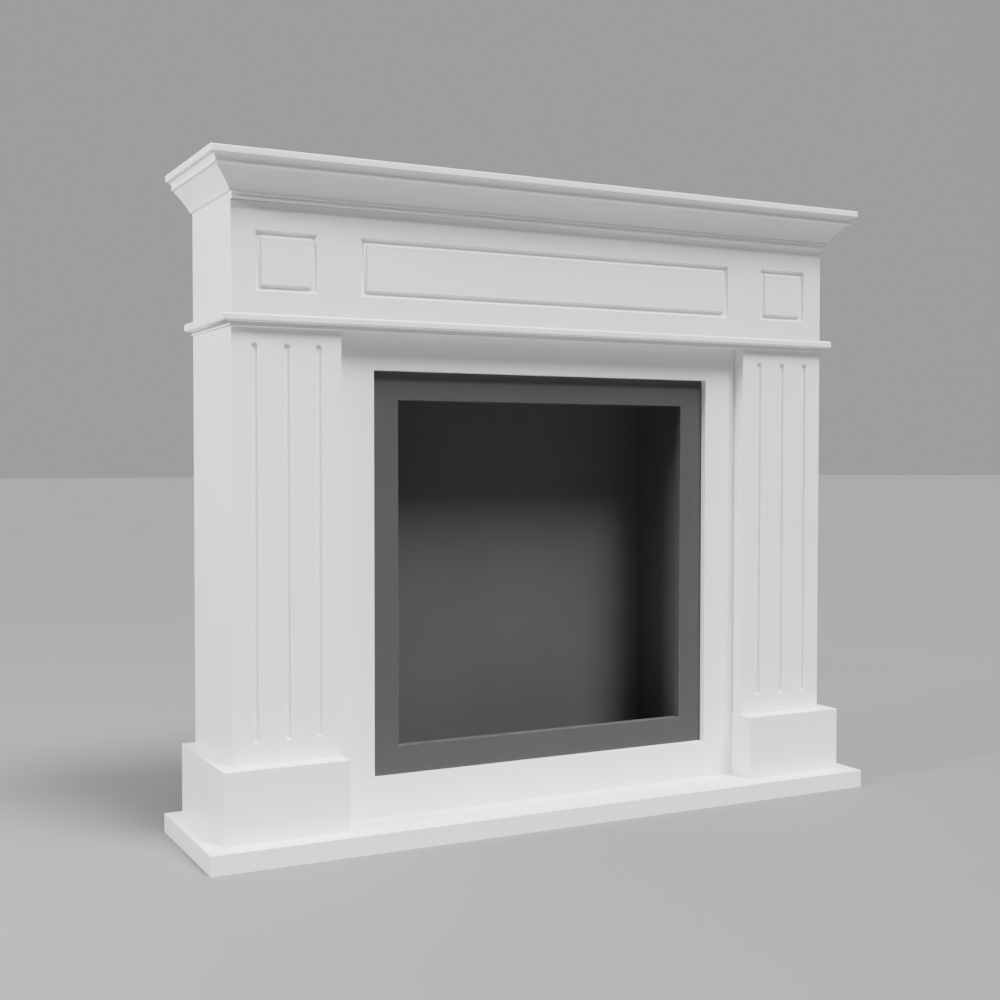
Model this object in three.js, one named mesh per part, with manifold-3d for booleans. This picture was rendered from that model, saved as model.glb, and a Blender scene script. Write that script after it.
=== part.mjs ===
// Bioethanol fireplace: a painted mantel surround of boards and mouldings standing on a hearth slab, with
// a sheet steel firebox set back in its opening. Millimetres, +Z up, the front faces -Y and left is -X.
// The origin is on the floor, under the middle of the hearth slab.

import * as THREE from "three";
import { mergeVertices } from "three/addons/utils/BufferGeometryUtils.js";
import Module from "manifold-3d";

const wasm = await Module();
wasm.setup();

// Clearances between neighbouring pieces
const JOINT_GAP = 0.3; // between boards that are glued or stand on each other
const PANEL_SIDE_GAP = 0.8; // the fine shadow line between the panel and each pilaster
const INSERT_GAP = 0.4; // between the steel frame and the cut edge of the panel
const SLEEVE_GAP = 0.5; // between the frame's inner lip, the firebox sheets and its floor

// Hearth slab, laid out from the plinth blocks that stand on it
const SLAB_THICKNESS = 30;
const SLAB_MARGIN_SIDES = 29;
const SLAB_MARGIN_FRONT = 33;

// Boards of the surround
const BOARD = 18; // sides, plinth blocks and pilasters
const SURROUND_WIDTH = 1098; // over the outer sides of both pilasters and the frieze
const SURROUND_DEPTH = 208; // from the back to the faces of the pilasters and the frieze

// Plinth blocks under the pilasters
const PLINTH_HEIGHT = 109;
const PLINTH_STEP_FRONT = 29; // how far a block stands out past its pilaster
const PLINTH_STEP_OUTSIDE = 22;
const PLINTH_STEP_INSIDE = 2;

// Pilasters
const PILASTER_WIDTH = 172;
const PILASTER_HEIGHT = 650;
const FLUTES = 3;
const FLUTE_SPACING = 50;
const FLUTE_WIDTH = 9;
const FLUTE_DEPTH = 4.5;
const FLUTE_STOP_BELOW = 33; // plain margin under the flutes
const FLUTE_STOP_ABOVE = 23.5; // plain margin over the flutes

// Flat panel between the pilasters, cut out for the firebox
const PANEL_SETBACK = 24.5; // from the pilasters' faces back to the panel's
const PANEL_TOP_LAP = 25; // how far the panel runs up behind the frieze
const OPENING_WIDTH = 628;
const OPENING_HEIGHT = 639;
const OPENING_SILL = 63.5; // from the hearth slab up to the opening

// Steel frame, a folded channel set back in the opening
const FRAME_SETBACK = 11; // from the panel's face back to the frame's
const FRAME_BORDER = 45.5; // width of the frame's face
const FRAME_RETURN = 15; // depth of its folded lips
const FRAME_SHEET = 2.5;

// Firebox behind the frame, and the floor that the burner stands on
const SHELL_DEPTH = 141;
const SHELL_SHEET = 2;
const SHELL_SINK = 36; // how far the box reaches below the mouth, so that a burner stands hidden
const FLOOR_THICKNESS = 10;

// Frieze with its three sunk rectangles
const FRIEZE_HEIGHT = 183;
const GROOVE_WIDTH = 10;
const GROOVE_DEPTH = 5;
const GROOVED_HEIGHT = 89;
const GROOVED_RISE = 52.5; // from the frieze's lower edge up to the rectangles
const SMALL_RECTANGLE_MARGIN = 38; // from a pilaster's sides in to the rectangle over it
const LONG_RECTANGLE_MARGIN = 33.5; // from the pilasters' inner sides in to the middle rectangle

// Band moulding around the foot of the frieze
const BAND_FILLET_HEIGHT = 5.7;
const BAND_FILLET_PROJECTION = 2.6;
const BAND_NOSE_HEIGHT = 13;
const BAND_NOSE_PROJECTION = 14.3;
const BAND_ROUNDING = 3.2;

// Cornice over the frieze. Projections are from the sides of the frieze, heights from its foot.
const CORNICE_HEIGHT = 56;
const CORNICE_FORWARD = 8; // how much further it stands out in front than at the sides
const BEAD_HEIGHT = 4;
const BEAD_PROJECTION = 1.6;
const QUIRK_HEIGHT = 3.2;
const QUIRK_PROJECTION = 0.4;
const FILLET_HEIGHT = 3.6;
const FILLET_PROJECTION = 4.3;
const COVE_HEIGHT = 32.4;
const COVE_PROJECTION = 24.4; // from the fillet out to the top of the cove
const COVE_START = 4.2; // how far the cove leans out over its lower, steeper part
const COVE_KNEE = 10; // height of the steeper part
const LIP_HEIGHT = 3;
const LIP_PROJECTION = 5; // from the cove out to the lip
const HOLLOW_STEP = 1.2; // from the lip back to the foot of the hollow
const HOLLOW_FLARE = 6; // from the foot of the hollow out to its top

// Shelf
const SHELF_THICKNESS = 10.4;
const SHELF_OVERHANG = 4.5; // past the top of the cornice
const SHELF_ROUNDING = 1.5;

const CURVE_STEPS = 8; // straight lines in a quarter round, a cove or half a groove
const FLUTE_SIDES = 32;

// Heights of the joints, from the floor up
const plinthFoot = SLAB_THICKNESS + JOINT_GAP;
const plinthTop = plinthFoot + PLINTH_HEIGHT;
const pilasterFoot = plinthTop + JOINT_GAP;
const pilasterTop = pilasterFoot + PILASTER_HEIGHT;
const friezeFoot = pilasterTop + JOINT_GAP;
const friezeTop = friezeFoot + FRIEZE_HEIGHT;
const corniceFoot = friezeTop + JOINT_GAP;
const corniceTop = corniceFoot + CORNICE_HEIGHT;
const shelfFoot = corniceTop + JOINT_GAP;

// Widths and depths that several pieces share
const slabDepth = SURROUND_DEPTH + PLINTH_STEP_FRONT + SLAB_MARGIN_FRONT;
const backPlane = slabDepth / 2; // the plane that every piece's back edge is flush with
const surroundSide = SURROUND_WIDTH / 2;
const plinthOutside = surroundSide + PLINTH_STEP_OUTSIDE;
const pilasterInside = surroundSide - PILASTER_WIDTH;
const pilasterCentre = surroundSide - PILASTER_WIDTH / 2;
const plinthInside = pilasterInside - PLINTH_STEP_INSIDE;
const surroundFace = backPlane - SURROUND_DEPTH;
const panelFace = surroundFace + PANEL_SETBACK;
const frameFace = panelFace + FRAME_SETBACK;
const openingFoot = SLAB_THICKNESS + OPENING_SILL;
const mouthSide = OPENING_WIDTH / 2 - FRAME_BORDER;
const mouthFoot = openingFoot + FRAME_BORDER;
const mouthTop = openingFoot + OPENING_HEIGHT - FRAME_BORDER;

const paintedBoard = new THREE.MeshStandardMaterial({ color: 0xeceae6, roughness: 0.45, metalness: 0 });
const paintedSteel = new THREE.MeshStandardMaterial({ color: 0x3d3d3f, roughness: 0.55, metalness: 0.3 });

// The manifold solid of a three.js geometry: shared corners merged, slivers without area dropped.
function solid(geometry) {
  const bare = new THREE.BufferGeometry();
  bare.setAttribute("position", geometry.getAttribute("position"));
  bare.setIndex(geometry.getIndex());
  const merged = mergeVertices(bare);
  const corners = merged.getIndex().array;
  const kept = [];
  for (let i = 0; i < corners.length; i += 3) {
    const [a, b, c] = corners.slice(i, i + 3);
    if (a !== b && b !== c && c !== a) kept.push(a, b, c);
  }
  const vertProperties = new Float32Array(merged.getAttribute("position").array);
  return new wasm.Manifold(new wasm.Mesh({ numProp: 3, vertProperties, triVerts: new Uint32Array(kept) }));
}

function mesh(name, body, material) {
  const { vertProperties, triVerts } = body.getMesh();
  const geometry = new THREE.BufferGeometry();
  geometry.setAttribute("position", new THREE.BufferAttribute(vertProperties, 3));
  geometry.setIndex(new THREE.BufferAttribute(triVerts, 1));
  geometry.computeVertexNormals();
  const result = new THREE.Mesh(geometry, material);
  result.name = name;
  return result;
}

// Directions of an outline's two axes and of its extrusion, for a run along each axis of the part
const X = new THREE.Vector3(1, 0, 0);
const Y = new THREE.Vector3(0, 1, 0);
const Z = new THREE.Vector3(0, 0, 1);
const RUNS = { x: [Y, Z, X], y: [X, Z, Y.clone().negate()], z: [X, Y, Z] };

// A straight run of one outline, from one place to another along an axis. The outline's points are
// (y, z) along x, (x, z) along y and (x, y) along z.
function run(axis, points, from, to) {
  const shape = new THREE.Shape(points.map(([u, v]) => new THREE.Vector2(u, v)));
  const geometry = new THREE.ExtrudeGeometry(shape, { depth: to - from, bevelEnabled: false });
  geometry.applyMatrix4(new THREE.Matrix4().makeBasis(...RUNS[axis]));
  const start = axis === "y" ? to : from;
  geometry.translate(...["x", "y", "z"].map((name) => (name === axis ? start : 0)));
  return solid(geometry);
}

function box([x0, x1], [y0, y1], [z0, z1]) {
  const geometry = new THREE.BoxGeometry(x1 - x0, y1 - y0, z1 - z0);
  geometry.translate((x0 + x1) / 2, (y0 + y1) / 2, (z0 + z1) / 2);
  return solid(geometry);
}

// Points of a path drawn from straight lines and curves, as pairs
function drawn(draw) {
  const path = new THREE.Path();
  draw(path);
  return path.getPoints(CURVE_STEPS).map(({ x, y }) => [x, y]);
}

// A box whose front and sides carry one moulding, mitred at the corners and cut flat at the back.
// The section's points are (projection from the box, height), from the foot up.
function moulded(section, side, depth, foot) {
  const face = backPlane - depth;
  const reach = Math.max(...section.map(([out]) => out));
  const heights = section.map(([, up]) => foot + up);
  const right = section.map(([out], i) => [side + out, heights[i]]);
  const left = section.map(([out], i) => [-side - out, heights[i]]).reverse();
  const front = section.map(([out], i) => [face - out, heights[i]]).reverse();
  const acrossDepth = [[backPlane, heights[0]], [backPlane, heights.at(-1)], ...front];
  const sides = run("y", [...right, ...left], face - reach, backPlane);
  return sides.intersect(run("x", acrossDepth, -side - reach, side + reach));
}

// The open-backed hollow inside a box of boards: side walls, a front wall, and open above and below
function boxHollow(left, right, depth, front, heights) {
  return box([left + BOARD, right - BOARD], [backPlane - depth + front, backPlane + BOARD], heights);
}

function hearthSlab() {
  const side = plinthOutside + SLAB_MARGIN_SIDES;
  const slab = box([-side, side], [backPlane - slabDepth, backPlane], [0, SLAB_THICKNESS]);
  return mesh("hearth_slab", slab, paintedBoard);
}

// Left and right pieces are mirror images: `hand` is -1 on the left and 1 on the right
const HANDS = { left: -1, right: 1 };
const span = (hand, inner, outer) => [inner * hand, outer * hand].sort((a, b) => a - b);

function plinthBlock(name, hand) {
  const [left, right] = span(hand, plinthInside, plinthOutside);
  const depth = SURROUND_DEPTH + PLINTH_STEP_FRONT;
  const block = box([left, right], [backPlane - depth, backPlane], [plinthFoot, plinthTop]);
  const hollow = boxHollow(left, right, depth, BOARD, [plinthFoot - BOARD, plinthTop - BOARD]);
  return mesh(`plinth_block_${name}`, block.subtract(hollow), paintedBoard);
}

// A round-nosed cutter standing upright, sunk into the face so that it leaves a flute with round ends
function flute(x) {
  const radius = (FLUTE_WIDTH ** 2 / 4 + FLUTE_DEPTH ** 2) / (2 * FLUTE_DEPTH);
  const foot = pilasterFoot + FLUTE_STOP_BELOW;
  const top = pilasterTop - FLUTE_STOP_ABOVE;
  const capsule = new THREE.CapsuleGeometry(radius, top - foot - FLUTE_WIDTH, CURVE_STEPS, FLUTE_SIDES);
  capsule.rotateX(Math.PI / 2);
  capsule.translate(x, surroundFace + FLUTE_DEPTH - radius, (foot + top) / 2);
  return solid(capsule);
}

function pilaster(name, hand) {
  const [left, right] = span(hand, pilasterInside, surroundSide);
  let body = box([left, right], [surroundFace, backPlane], [pilasterFoot, pilasterTop]);
  const hollowHeights = [pilasterFoot - BOARD, pilasterTop + BOARD];
  body = body.subtract(boxHollow(left, right, SURROUND_DEPTH, BOARD, hollowHeights));
  for (let i = 0; i < FLUTES; i++) {
    body = body.subtract(flute(hand * pilasterCentre + (i - (FLUTES - 1) / 2) * FLUTE_SPACING));
  }
  return mesh(`pilaster_${name}`, body, paintedBoard);
}

// The panel is a little narrower where it stands between the plinth blocks
function surroundPanel() {
  const side = pilasterInside - PANEL_SIDE_GAP;
  const footSide = plinthInside - JOINT_GAP;
  const depths = [panelFace, panelFace + BOARD];
  const upper = box([-side, side], depths, [pilasterFoot, friezeFoot + PANEL_TOP_LAP]);
  const foot = box([-footSide, footSide], depths, [plinthFoot, pilasterFoot + JOINT_GAP]);
  const openingSide = OPENING_WIDTH / 2;
  const through = [panelFace - BOARD, panelFace + 2 * BOARD];
  const opening = box([-openingSide, openingSide], through, [openingFoot, openingFoot + OPENING_HEIGHT]);
  return mesh("surround_panel", upper.add(foot).subtract(opening), paintedBoard);
}

// Upright block around the firebox's mouth, standing out past the mouth's edge by `beyond` and by `sunk` more below
function aroundMouth(beyond, depths, sunk = 0) {
  const side = mouthSide + beyond;
  return box([-side, side], depths, [mouthFoot - beyond - sunk, mouthTop + beyond]);
}

function fireboxFrame() {
  const rim = FRAME_BORDER - INSERT_GAP;
  const behind = frameFace + FRAME_RETURN;
  const channel = aroundMouth(rim, [frameFace, behind]);
  const fold = aroundMouth(rim - FRAME_SHEET, [frameFace + FRAME_SHEET, behind + FRAME_RETURN]);
  const innerLip = aroundMouth(FRAME_SHEET, [frameFace, behind + FRAME_RETURN]);
  const mouth = aroundMouth(0, [frameFace - FRAME_RETURN, behind + FRAME_RETURN]);
  return mesh("firebox_frame", channel.subtract(fold.subtract(innerLip)).subtract(mouth), paintedSteel);
}

// The firebox's sheets start behind the frame's face and enclose the frame's inner lip
const shellFace = frameFace + FRAME_SHEET + JOINT_GAP;
const shellInside = FRAME_SHEET + SLEEVE_GAP;

function fireboxShell() {
  const back = shellFace + SHELL_DEPTH;
  const outside = aroundMouth(shellInside + SHELL_SHEET, [shellFace, back], SHELL_SINK);
  const cavity = aroundMouth(shellInside, [shellFace - SHELL_SHEET, back - SHELL_SHEET], SHELL_SINK);
  return mesh("firebox_shell", outside.subtract(cavity), paintedSteel);
}

function fireboxFloor() {
  const side = mouthSide + shellInside - SLEEVE_GAP;
  const foot = mouthFoot - shellInside - SHELL_SINK + JOINT_GAP;
  const depths = [frameFace + FRAME_RETURN + SLEEVE_GAP, shellFace + SHELL_DEPTH - SHELL_SHEET - SLEEVE_GAP];
  return mesh("firebox_floor", box([-side, side], depths, [foot, foot + FLOOR_THICKNESS]), paintedSteel);
}

// Half of a groove's round section, as pairs of distance in from its edge and depth
function grooveFlank() {
  const half = GROOVE_WIDTH / 2;
  const radius = (half ** 2 + GROOVE_DEPTH ** 2) / (2 * GROOVE_DEPTH);
  const start = Math.atan2(radius - GROOVE_DEPTH, half);
  return Array.from({ length: CURVE_STEPS + 1 }, (_, i) => {
    const angle = start + ((Math.PI / 2 - start) * i) / CURVE_STEPS;
    return [half - radius * Math.cos(angle), radius * Math.sin(angle) - (radius - GROOVE_DEPTH)];
  });
}

// Cutter for a groove that runs around a rectangle of the frieze's face, mitred at the corners: a sunk
// field with round flanks, less the island that stays standing in its middle
function rectangleGroove(x, width) {
  const z = friezeFoot + GROOVED_RISE + GROOVED_HEIGHT / 2;
  const flank = grooveFlank();
  const lift = GROOVE_DEPTH;
  const field = (half) => [[half, -lift], ...flank.map(([inward, deep]) => [half - inward, deep])];
  const island = (half) => [
    [half - GROOVE_WIDTH, -2 * lift],
    ...flank.map(([inward, deep]) => [half - GROOVE_WIDTH + inward, deep]),
    [half - GROOVE_WIDTH / 2, 2 * lift],
  ];
  const block = (edge) => {
    const both = (half) => [...edge(half), ...edge(half).map(([u, v]) => [-u, v]).reverse()];
    const acrossWidth = both(width / 2).map(([u, v]) => [x + u, surroundFace + v]);
    const acrossHeight = both(GROOVED_HEIGHT / 2).map(([u, v]) => [surroundFace + v, z + u]).reverse();
    const upright = run("z", acrossWidth, z - GROOVED_HEIGHT, z + GROOVED_HEIGHT);
    return upright.intersect(run("x", acrossHeight, x - width, x + width));
  };
  return block(field).subtract(block(island));
}

// The frieze's front board fills the step between the surround's face and the panel's
const friezeFront = PANEL_SETBACK - JOINT_GAP;

function frieze() {
  let body = box([-surroundSide, surroundSide], [surroundFace, backPlane], [friezeFoot, friezeTop]);
  const hollowHeights = [friezeFoot - BOARD, friezeTop + BOARD];
  body = body.subtract(boxHollow(-surroundSide, surroundSide, SURROUND_DEPTH, friezeFront, hollowHeights));
  body = body.subtract(rectangleGroove(0, 2 * (pilasterInside - LONG_RECTANGLE_MARGIN)));
  for (const hand of Object.values(HANDS)) {
    body = body.subtract(rectangleGroove(hand * pilasterCentre, PILASTER_WIDTH - 2 * SMALL_RECTANGLE_MARGIN));
  }
  return mesh("frieze", body, paintedBoard);
}

function bandMoulding() {
  const nose = BAND_NOSE_PROJECTION;
  const inner = nose - BAND_ROUNDING;
  const top = BAND_FILLET_HEIGHT + BAND_NOSE_HEIGHT;
  const section = drawn((path) => {
    path.moveTo(BAND_FILLET_PROJECTION, 0);
    path.lineTo(BAND_FILLET_PROJECTION, BAND_FILLET_HEIGHT);
    path.lineTo(inner, BAND_FILLET_HEIGHT);
    path.absarc(inner, BAND_FILLET_HEIGHT + BAND_ROUNDING, BAND_ROUNDING, -Math.PI / 2, 0);
    path.absarc(inner, top - BAND_ROUNDING, BAND_ROUNDING, 0, Math.PI / 2);
  });
  const outline = moulded(section, surroundSide, SURROUND_DEPTH, friezeFoot);
  const side = surroundSide + JOINT_GAP;
  const heights = [friezeFoot - BOARD, friezeTop];
  const friezeRoom = box([-side, side], [surroundFace - JOINT_GAP, backPlane + BOARD], heights);
  return mesh("band_moulding", outline.subtract(friezeRoom), paintedBoard);
}

// Projections of the cornice's upper members, from the side of the frieze
const coveTop = FILLET_PROJECTION + COVE_PROJECTION;
const lipOut = coveTop + LIP_PROJECTION;
const hollowFoot = lipOut - HOLLOW_STEP;
const hollowTop = hollowFoot + HOLLOW_FLARE;

function cornice() {
  const quirkFoot = BEAD_HEIGHT;
  const filletFoot = quirkFoot + QUIRK_HEIGHT;
  const coveFoot = filletFoot + FILLET_HEIGHT;
  const lipFoot = coveFoot + COVE_HEIGHT;
  const lipTop = lipFoot + LIP_HEIGHT;
  const section = drawn((path) => {
    path.moveTo(BEAD_PROJECTION, 0);
    path.lineTo(BEAD_PROJECTION, quirkFoot);
    path.lineTo(QUIRK_PROJECTION, quirkFoot);
    path.lineTo(QUIRK_PROJECTION, filletFoot);
    path.lineTo(FILLET_PROJECTION, filletFoot);
    path.lineTo(FILLET_PROJECTION, coveFoot);
    path.quadraticCurveTo(FILLET_PROJECTION + COVE_START, coveFoot + COVE_KNEE, coveTop, lipFoot);
    path.lineTo(lipOut, lipFoot);
    path.lineTo(lipOut, lipTop);
    path.lineTo(hollowFoot, lipTop);
    path.quadraticCurveTo(hollowFoot, (lipTop + CORNICE_HEIGHT) / 2, hollowTop, CORNICE_HEIGHT);
  });
  const outline = moulded(section, surroundSide, SURROUND_DEPTH + CORNICE_FORWARD, corniceFoot);
  const hollowHeights = [corniceFoot - BOARD, corniceTop + BOARD];
  const hollow = boxHollow(-surroundSide, surroundSide, SURROUND_DEPTH, friezeFront, hollowHeights);
  return mesh("cornice", outline.subtract(hollow), paintedBoard);
}

function shelf() {
  const out = hollowTop + SHELF_OVERHANG;
  const flat = out - SHELF_ROUNDING;
  const section = drawn((path) => {
    path.moveTo(flat, 0);
    path.absarc(flat, SHELF_ROUNDING, SHELF_ROUNDING, -Math.PI / 2, 0);
    path.absarc(flat, SHELF_THICKNESS - SHELF_ROUNDING, SHELF_ROUNDING, 0, Math.PI / 2);
  });
  const board = moulded(section, surroundSide, SURROUND_DEPTH + CORNICE_FORWARD, shelfFoot);
  return mesh("shelf", board, paintedBoard);
}

const fireplace = new THREE.Group();
fireplace.add(hearthSlab());
for (const [name, hand] of Object.entries(HANDS)) {
  fireplace.add(plinthBlock(name, hand), pilaster(name, hand));
}
fireplace.add(surroundPanel(), fireboxFrame(), fireboxShell(), fireboxFloor());
fireplace.add(frieze(), bandMoulding(), cornice(), shelf());

export default fireplace;
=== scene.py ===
"""Finishes the bioethanol fireplace: boards with eased arrises, routed flutes and grooves, mitred mouldings
and a folded sheet steel firebox, in satin white paint and charcoal heat-proof coating.

Metres, +Z up, front towards -Y.
"""

import logging
import math
from collections.abc import Callable, Iterable
from dataclasses import dataclass, field
from enum import Enum

import bmesh
import bpy
from bmesh.types import BMesh, BMFace, BMVert
from mathutils import Matrix, Vector


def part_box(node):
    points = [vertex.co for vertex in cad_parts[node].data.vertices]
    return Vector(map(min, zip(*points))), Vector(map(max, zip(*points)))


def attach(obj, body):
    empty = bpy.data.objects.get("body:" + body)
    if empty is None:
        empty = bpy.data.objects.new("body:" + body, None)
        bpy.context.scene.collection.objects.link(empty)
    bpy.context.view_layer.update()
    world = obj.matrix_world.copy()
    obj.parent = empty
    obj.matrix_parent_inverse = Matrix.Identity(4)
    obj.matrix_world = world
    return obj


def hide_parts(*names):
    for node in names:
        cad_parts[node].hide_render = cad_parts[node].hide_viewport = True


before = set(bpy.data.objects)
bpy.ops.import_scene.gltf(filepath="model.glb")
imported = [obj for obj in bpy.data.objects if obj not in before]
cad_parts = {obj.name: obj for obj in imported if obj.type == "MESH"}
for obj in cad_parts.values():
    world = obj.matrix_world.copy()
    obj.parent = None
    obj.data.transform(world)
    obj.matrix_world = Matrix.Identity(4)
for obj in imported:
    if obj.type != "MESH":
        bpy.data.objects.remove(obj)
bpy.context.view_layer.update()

log = logging.getLogger("fireplace")

MM = 0.001
BODY = "root"
SHARP_ANGLE = math.radians(50)  # edges that turn more than this stay crisp
LEAST_ARRIS = math.radians(40)  # edges that turn less than this aren't eased
ARRIS = "arris"  # face attribute: 1 on the eased edges
SQUARE_ON = 0.99  # least share of a face's normal along the way that it looks straight along
LEANING = 0.5  # least share of a face's normal along the way that it mostly looks
TOUCHING = 0.1 * MM  # planes nearer than this are taken as one
MERGED = 1e-6  # corners nearer than this are made one
BACK = Vector((0, 1, 0))
FRONT = Vector((0, -1, 0))
UP = Vector((0, 0, 1))
DOWN = Vector((0, 0, -1))
WHOLE = (0.0, 1.0)  # the whole range of a share


class Slot(Enum):
    """Material slots of the record."""

    BOARD = "painted_board"
    STEEL = "painted_steel"


class Hand(Enum):
    """Side of the fireplace, as a node's name gives it."""

    LEFT = "left"
    RIGHT = "right"


# Finishes


class Mixture:
    """A material's node tree while it is being wired."""

    def __init__(self, name: str) -> None:
        """Starts a material with only its shader.

        Args:
            name: The material's name.
        """
        self.material = bpy.data.materials.new(name)
        self.material.use_nodes = True
        self.tree = self.material.node_tree
        self.shader = self.tree.nodes["Principled BSDF"]
        self.place = self.add("ShaderNodeTexCoord").outputs["Object"]

    def add(self, kind: str, **settings: object) -> bpy.types.Node:
        """Adds one node.

        Args:
            kind: The node's type name.
            settings: Properties to set, or input values where the name is an input's, with _ for a space.

        Returns:
            The new node.
        """
        node = self.tree.nodes.new(kind)
        for key, value in settings.items():
            socket = node.inputs.get(key.replace("_", " "))
            if socket is not None:
                socket.default_value = value
            else:
                setattr(node, key, value)
        return node

    def link(self, source: bpy.types.NodeSocket, target: bpy.types.NodeSocket) -> None:
        """Wires an output to an input."""
        self.tree.links.new(source, target)

    def noise(
        self, scale: float, detail: float = 2.0, stretch: tuple[float, float, float] = (1, 1, 1)
    ) -> bpy.types.NodeSocket:
        """Adds a cloudy pattern over the piece.

        Args:
            scale: Clouds to the metre.
            detail: Octaves of finer clouds.
            stretch: How many times denser the pattern is along each axis.

        Returns:
            The pattern's value, around 0.5.
        """
        mapping = self.add("ShaderNodeMapping", Scale=stretch)
        self.link(self.place, mapping.inputs["Vector"])
        cloud = self.add("ShaderNodeTexNoise", Scale=scale, Detail=detail)
        self.link(mapping.outputs["Vector"], cloud.inputs["Vector"])
        return cloud.outputs["Fac"]

    def spread(
        self, value: bpy.types.NodeSocket, low: float, high: float, out: tuple[float, float] = WHOLE
    ) -> bpy.types.NodeSocket:
        """Maps a value from one range to another, clamped.

        Args:
            value: The value to map.
            low: Lower end of its range.
            high: Upper end of its range.
            out: The range that it is mapped to.

        Returns:
            The mapped value.
        """
        node = self.add("ShaderNodeMapRange", From_Min=low, From_Max=high, To_Min=out[0], To_Max=out[1])
        self.link(value, node.inputs["Value"])
        return node.outputs["Result"]

    def mix(self, factor: bpy.types.NodeSocket, first: object, second: object) -> bpy.types.NodeSocket:
        """Blends two colours.

        Args:
            factor: 0 for the first colour, 1 for the second.
            first: A colour or a colour's socket.
            second: A colour or a colour's socket.

        Returns:
            The blended colour.
        """
        node = self.add("ShaderNodeMix", data_type="RGBA")
        self.link(factor, node.inputs["Factor"])
        for name, value in (("A", first), ("B", second)):
            socket = next(s for s in node.inputs if s.name == name and s.type == "RGBA")
            if isinstance(value, bpy.types.NodeSocket):
                self.link(value, socket)
            else:
                socket.default_value = (*value, 1.0)
        return next(s for s in node.outputs if s.type == "RGBA")

    def math(self, operation: str, first: object, second: object) -> bpy.types.NodeSocket:
        """Combines two values.

        Args:
            operation: The sum to do, such as MULTIPLY.
            first: A number or a value's socket.
            second: A number or a value's socket.

        Returns:
            The result.
        """
        node = self.add("ShaderNodeMath", operation=operation)
        for socket, value in zip(node.inputs, (first, second)):
            if isinstance(value, bpy.types.NodeSocket):
                self.link(value, socket)
            else:
                socket.default_value = value
        return node.outputs["Value"]

    def attribute(self, name: str) -> bpy.types.NodeSocket:
        """Reads one of the piece's attributes as a value."""
        return self.add("ShaderNodeAttribute", attribute_name=name).outputs["Fac"]

    def flat_tops(self) -> bpy.types.NodeSocket:
        """Gives 1 where the surface faces up, where dust settles, and 0 elsewhere."""
        split = self.add("ShaderNodeSeparateXYZ")
        self.link(self.add("ShaderNodeNewGeometry").outputs["Normal"], split.inputs["Vector"])
        return self.spread(split.outputs["Z"], low=0.8, high=1.0)

    def relief(self, height: bpy.types.NodeSocket, strength: float, distance: float) -> None:
        """Raises the surface.

        Args:
            height: The relief's height.
            strength: Share of the relief that shows.
            distance: Height of the relief in metres.
        """
        node = self.add("ShaderNodeBump", Strength=strength, Distance=distance)
        self.link(height, node.inputs["Height"])
        self.link(node.outputs["Normal"], self.shader.inputs["Normal"])


Colour = tuple[float, float, float]


@dataclass(frozen=True)
class SatinPaint:
    """Smoothly sprayed satin paint, thinner and glossier along the arrises, with a film of dust on top."""

    name: str = "satin white paint"
    colour: Colour = (0.915, 0.913, 0.904)
    cloud: Colour = (0.895, 0.892, 0.880)
    rubbed: Colour = (0.93, 0.928, 0.92)
    dust: Colour = (0.86, 0.855, 0.843)
    roughness: tuple[float, float] = (0.36, 0.48)
    specular: float = 0.5
    film: tuple[float, float] = (0.0, 0.55)  # thinnest and thickest dust
    polish: float = 0.08  # how much less rough the rubbed arrises are

    def material(self) -> bpy.types.Material:
        """Wires the paint and returns it."""
        mixture = Mixture(self.name)
        clouds = mixture.spread(mixture.noise(scale=7.0, detail=3.0), low=0.35, high=0.65)
        colour = mixture.mix(clouds, self.colour, self.cloud)
        wear = mixture.spread(mixture.noise(scale=38.0, detail=3.0), low=0.45, high=0.62)
        rubbed = mixture.math("MULTIPLY", mixture.attribute(ARRIS), wear)
        colour = mixture.mix(rubbed, colour, self.rubbed)
        film = mixture.spread(mixture.noise(scale=24.0, detail=5.0), low=0.42, high=0.7, out=self.film)
        colour = mixture.mix(mixture.math("MULTIPLY", mixture.flat_tops(), film), colour, self.dust)
        mixture.link(colour, mixture.shader.inputs["Base Color"])
        gloss = mixture.spread(mixture.noise(scale=30.0, detail=3.0), low=0.3, high=0.7, out=self.roughness)
        gloss = mixture.math("SUBTRACT", gloss, mixture.math("MULTIPLY", rubbed, self.polish))
        mixture.link(gloss, mixture.shader.inputs["Roughness"])
        mixture.shader.inputs["Specular IOR Level"].default_value = self.specular
        return mixture.material


@dataclass(frozen=True)
class BareFibreboard:
    """Unpainted fibreboard behind and inside the boards, with specks of fibre and a breath of overspray."""

    name: str = "bare fibreboard"
    colour: Colour = (0.45, 0.345, 0.235)
    fibre: Colour = (0.33, 0.245, 0.16)
    overspray: Colour = (0.68, 0.66, 0.62)
    film: tuple[float, float] = (0.0, 0.6)  # thinnest and thickest overspray
    roughness: tuple[float, float] = (0.82, 0.92)
    lie: tuple[float, float, float] = (1.0, 1.0, 0.5)  # the fibres lie longer upwards
    fibre_height: float = 0.1 * MM

    def material(self) -> bpy.types.Material:
        """Wires the fibreboard and returns it."""
        mixture = Mixture(self.name)
        specks = mixture.spread(mixture.noise(scale=650.0, detail=4.0, stretch=self.lie), low=0.45, high=0.7)
        colour = mixture.mix(specks, self.colour, self.fibre)
        spray = mixture.spread(mixture.noise(scale=9.0, detail=6.0), low=0.52, high=0.75, out=self.film)
        colour = mixture.mix(spray, colour, self.overspray)
        mixture.link(colour, mixture.shader.inputs["Base Color"])
        gloss = mixture.spread(specks, low=0.0, high=1.0, out=self.roughness)
        mixture.link(gloss, mixture.shader.inputs["Roughness"])
        mixture.relief(specks, strength=0.3, distance=self.fibre_height)
        return mixture.material


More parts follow.
